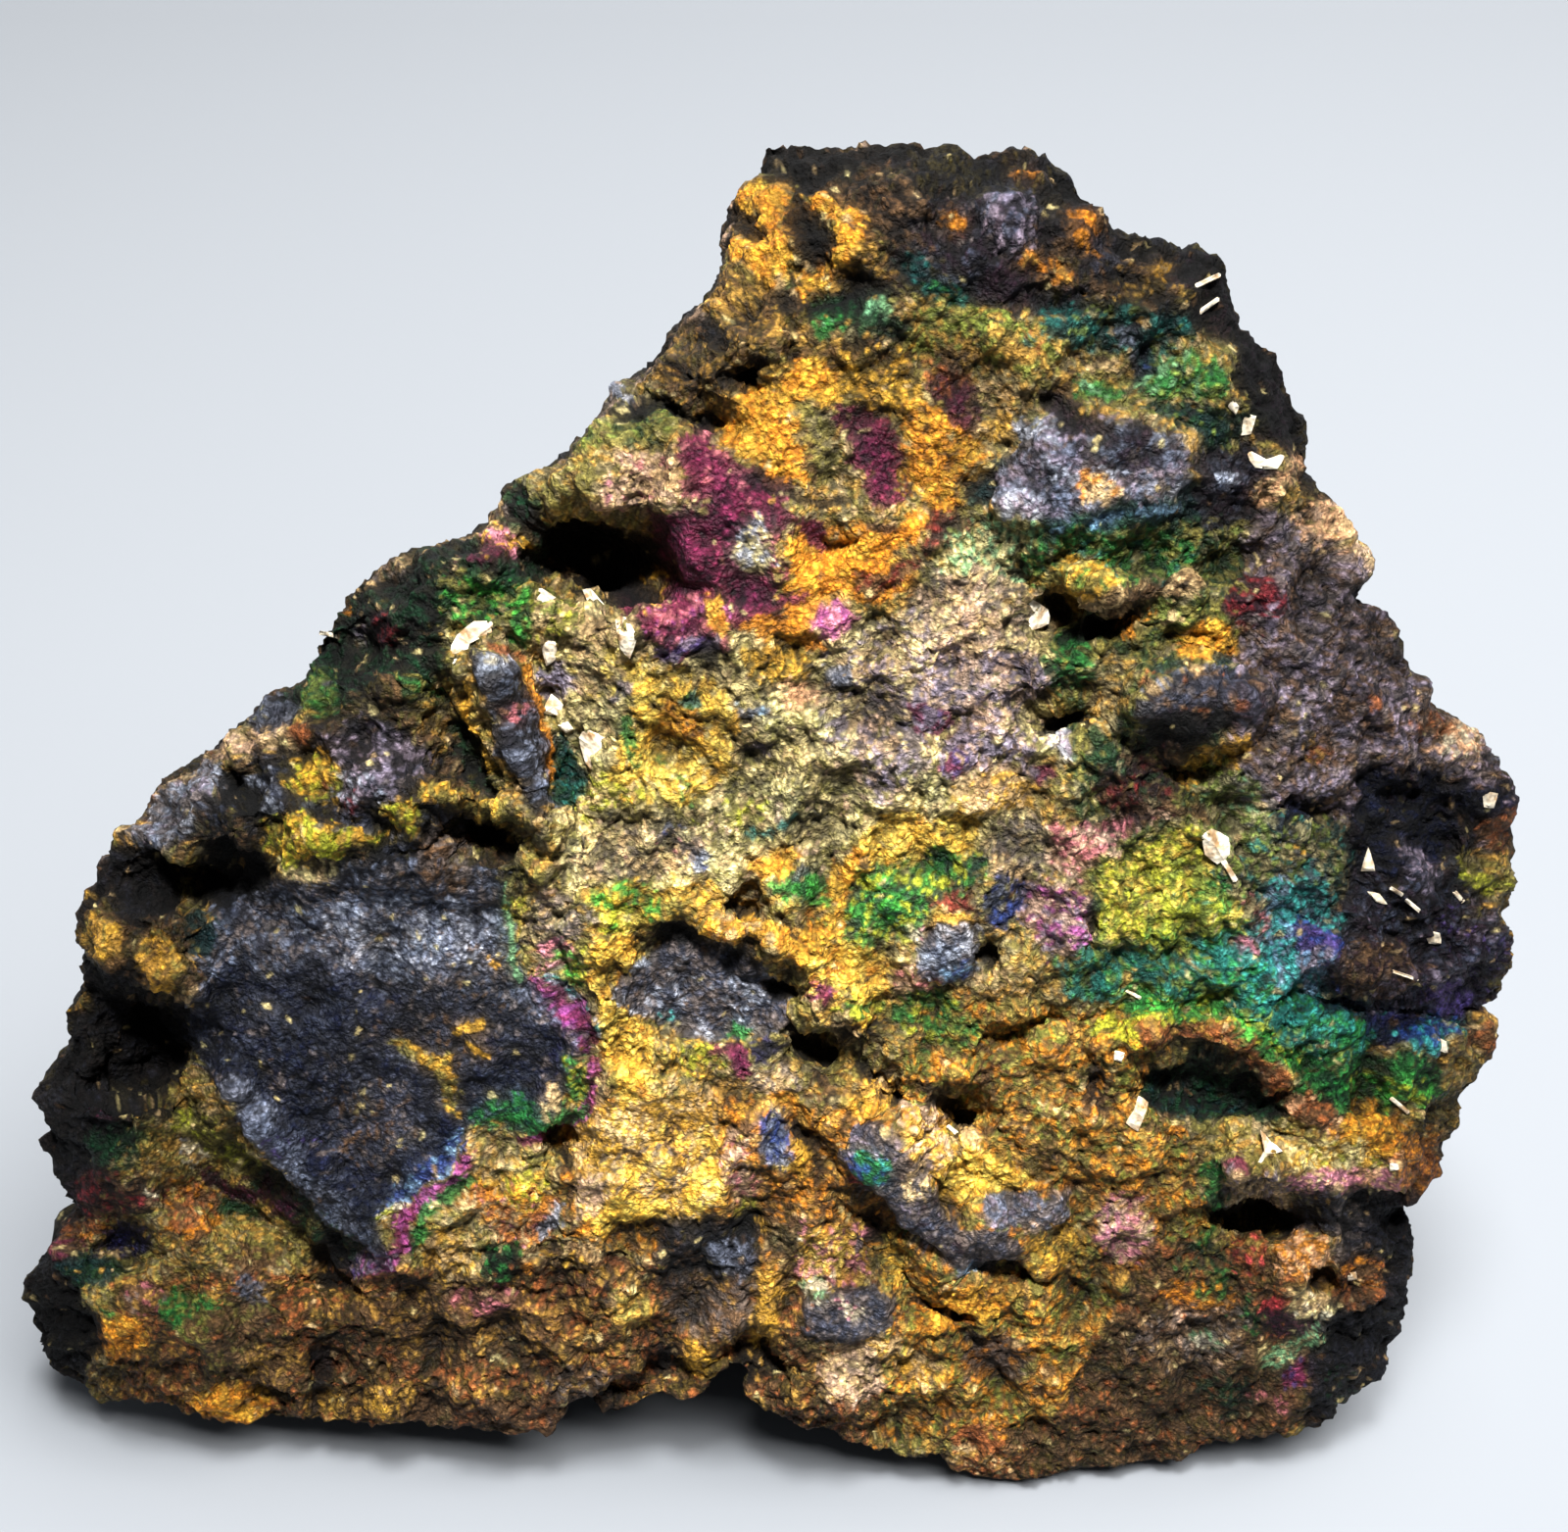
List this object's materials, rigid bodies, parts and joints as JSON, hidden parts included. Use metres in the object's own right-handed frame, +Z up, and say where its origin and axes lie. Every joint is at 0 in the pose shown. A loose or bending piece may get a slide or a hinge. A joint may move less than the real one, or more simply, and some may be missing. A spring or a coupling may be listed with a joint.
{
  "type": "iridescent goethite specimen",
  "caption": "Rough natural stone of iridescent goethite: a broad crystalline face leaning back from a low front lip, with ochre crust and steel-grey plates, resting on a flat spot.",
  "frame": {"origin": "middle of the stone's footprint box, on the surface that it rests on", "axes": "+X to the right along the stone's longest side, +Y toward its back, away from the crystalline face, +Z up"},
  "size_m": [0.1254, 0.0646, 0.1026],
  "materials": {
    "goethite": "rough, with metallic iridescent plates and a dull ochre crust"
  },
  "bodies": {
    "root": {"goethite": "goethite"}
  },
  "joints": []
}
